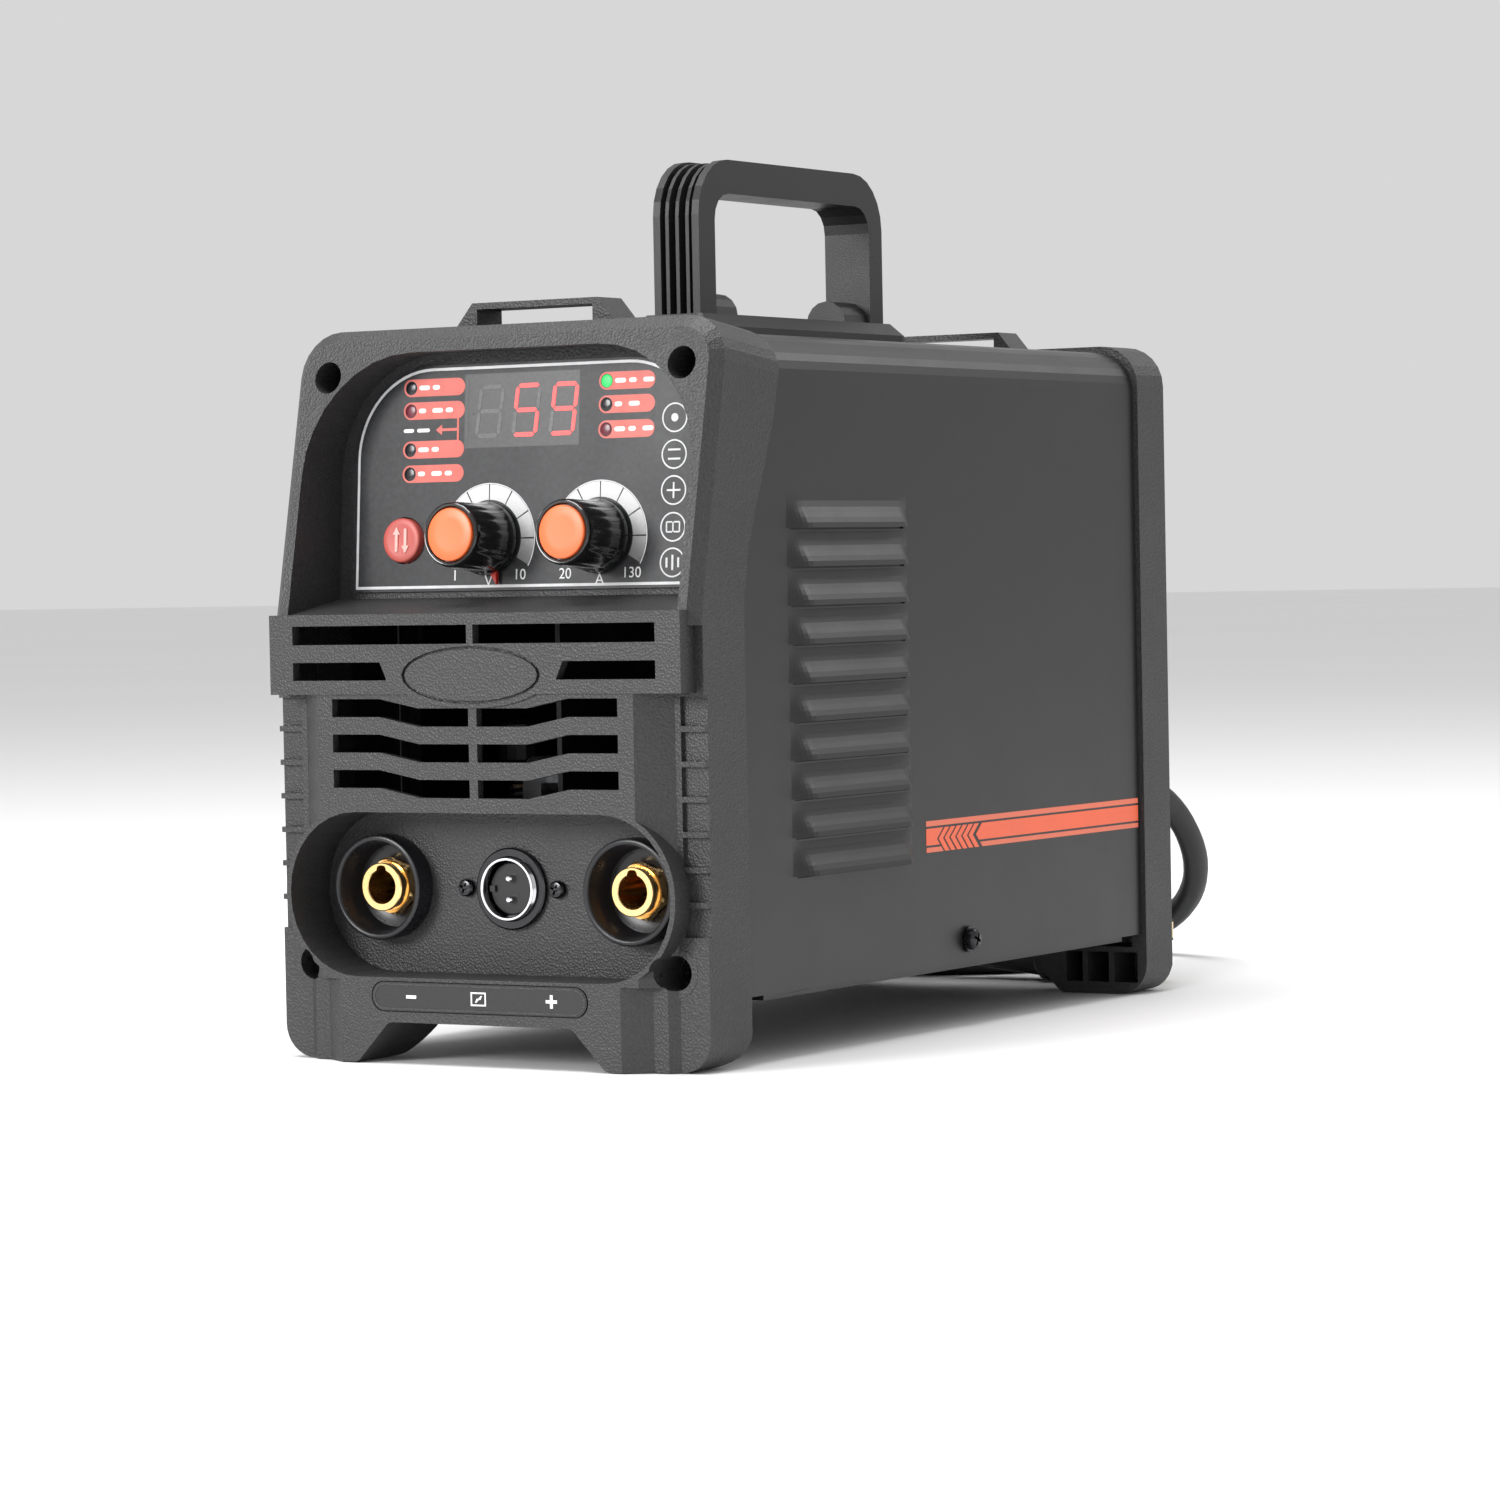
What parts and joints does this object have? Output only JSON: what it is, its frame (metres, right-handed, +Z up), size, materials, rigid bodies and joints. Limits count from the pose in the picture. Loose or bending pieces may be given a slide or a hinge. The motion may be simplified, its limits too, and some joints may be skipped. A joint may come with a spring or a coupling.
{
  "type": "mig welding machine",
  "caption": "Compact inverter mig welding machine with knobs and a display in a leaning front recess, current sockets, side door, louvred cover, handle and mains lead.",
  "frame": {"origin": "centre of the bounding box on the floor under the feet, without the mains lead", "axes": "+Z up, the front panel faces -Y, the louvred side faces +X and the door side faces -X"},
  "size_m": [0.1685, 0.3982, 0.2435],
  "materials": {
    "charcoal_moulding": "fine moulded grain",
    "cover_paint": "satin powder coat",
    "black_plastic": "satin moulded",
    "gloss_black": "gloss",
    "overlay_film": "printed satin film",
    "orange_cap": "satin",
    "red_key": "satin",
    "brass": "turned",
    "chrome": "polished",
    "black_screw": "blackened",
    "steel": "machined",
    "zinc": "zinc plated",
    "aluminium": "extruded",
    "green_board": "solder mask",
    "copper": "enamelled winding",
    "ferrite": "matt",
    "capacitor_sleeve": "shrink sleeve",
    "lead_rubber": "matt jacket",
    "display_lens": "tinted window"
  },
  "bodies": {
    "machine": {"front_panel": "charcoal_moulding", "polarity_plate": "black_plastic", "control_overlay": "overlay_film", "display_window": "display_lens", "seven_segment_display": "black_plastic", "status_light_guide": "gloss_black", "voltage_potentiometer": "zinc", "current_potentiometer": "zinc", "control_board": "green_board", "negative_socket": "black_plastic", "positive_socket": "black_plastic", "negative_contact": "brass", "positive_contact": "brass", "trigger_socket_shell": "chrome", "trigger_socket_insert": "black_plastic", "front_screw_upper_left": "black_screw", "front_screw_upper_right": "black_screw", "front_screw_lower_left": "black_screw", "front_screw_lower_right": "black_screw", "cover": "cover_paint", "door_hinge_pin": "steel", "base_tray": "cover_paint", "divider_plate": "cover_paint", "cover_screw_left": "black_screw", "cover_screw_right": "black_screw", "carry_handle": "black_plastic", "power_board": "green_board", "input_heat_sink": "aluminium", "output_heat_sink": "aluminium", "filter_capacitor_front": "capacitor_sleeve", "filter_capacitor_rear": "capacitor_sleeve", "transformer_core": "ferrite", "transformer_winding": "copper", "output_choke": "copper", "fan_frame": "black_plastic", "rear_panel": "charcoal_moulding", "power_switch_frame": "black_plastic", "cable_gland": "black_plastic", "mains_lead": "lead_rubber", "mains_coil": "lead_rubber", "mains_plug": "black_plastic", "feed_motor": "zinc", "feed_plate": "aluminium", "wire_inlet_guide": "brass", "spool_axle": "steel"},
    "voltage_knob": {"voltage_knob": "gloss_black", "voltage_knob_cap": "orange_cap"},
    "current_knob": {"current_knob": "gloss_black", "current_knob_cap": "orange_cap"},
    "mode_button": {"mode_button": "red_key"},
    "power_rocker": {"power_switch_rocker": "gloss_black"},
    "side_door": {"side_door": "cover_paint"},
    "door_latch": {"door_latch": "black_plastic"},
    "pressure_arm": {"pressure_arm": "zinc", "tension_spring": "steel"},
    "tension_knob": {"tension_knob": "black_plastic"},
    "drive_roll": {"drive_roll": "steel"},
    "idler_roll": {"idler_roll": "steel"},
    "spool_hub": {"spool_hub": "black_plastic"},
    "fan_rotor": {"fan_rotor": "black_plastic"}
  },
  "joints": [
    {"name": "voltage_knob_turn", "type": "hinge", "parent": "machine", "child": "voltage_knob", "pos_m": [-0.0124, -0.10608, 0.13837], "axis": [0, 0.9976, -0.0698], "range_deg": [-300, 0]},
    {"name": "current_knob_turn", "type": "hinge", "parent": "machine", "child": "current_knob", "pos_m": [0.023, -0.10608, 0.13837], "axis": [0, 0.9976, -0.0698], "range_deg": [0, 300]},
    {"name": "mode_button_press", "type": "slide", "parent": "machine", "child": "mode_button", "axis": [0, 0.9976, -0.0698], "range_m": [0, 0.001], "stiffness_N_per_m": 900},
    {"name": "power_rocker_tilt", "type": "hinge", "parent": "machine", "child": "power_rocker", "pos_m": [-0.028, 0.1286, 0.052], "axis": [1, 0, 0], "range_deg": [-20, 0]},
    {"name": "side_door_hinge", "type": "hinge", "parent": "machine", "child": "side_door", "pos_m": [-0.0688, 0.1052, 0.104], "axis": [0, 0, -1], "range_deg": [0, 110]},
    {"name": "door_latch_turn", "type": "hinge", "parent": "side_door", "child": "door_latch", "pos_m": [-0.066, -0.064, 0.104], "axis": [1, 0, 0], "range_deg": [0, 90]},
    {"name": "pressure_arm_pivot", "type": "hinge", "parent": "machine", "child": "pressure_arm", "pos_m": [-0.035, -0.013, 0.066], "axis": [-1, 0, 0], "range_deg": [0, 60]},
    {"name": "tension_knob_turn", "type": "hinge", "parent": "pressure_arm", "child": "tension_knob", "pos_m": [-0.04, -0.053, 0.07], "axis": [0, 0, 1], "range_deg": [-360, 360]},
    {"name": "drive_roll_spin", "type": "hinge", "parent": "machine", "child": "drive_roll", "pos_m": [-0.04, -0.035, 0.036], "axis": [1, 0, 0], "continuous": true},
    {"name": "idler_roll_spin", "type": "hinge", "parent": "pressure_arm", "child": "idler_roll", "pos_m": [-0.04, -0.035, 0.0546], "axis": [1, 0, 0], "continuous": true},
    {"name": "spool_hub_spin", "type": "hinge", "parent": "machine", "child": "spool_hub", "pos_m": [-0.04, 0.043, 0.105], "axis": [1, 0, 0], "continuous": true},
    {"name": "fan_rotor_spin", "type": "hinge", "parent": "machine", "child": "fan_rotor", "pos_m": [0.02, 0.113, 0.125], "axis": [0, 1, 0], "continuous": true}
  ],
  "couplings": [
    {"joint": "idler_roll_spin", "follows": "drive_roll_spin", "ratio": -1.25}
  ]
}
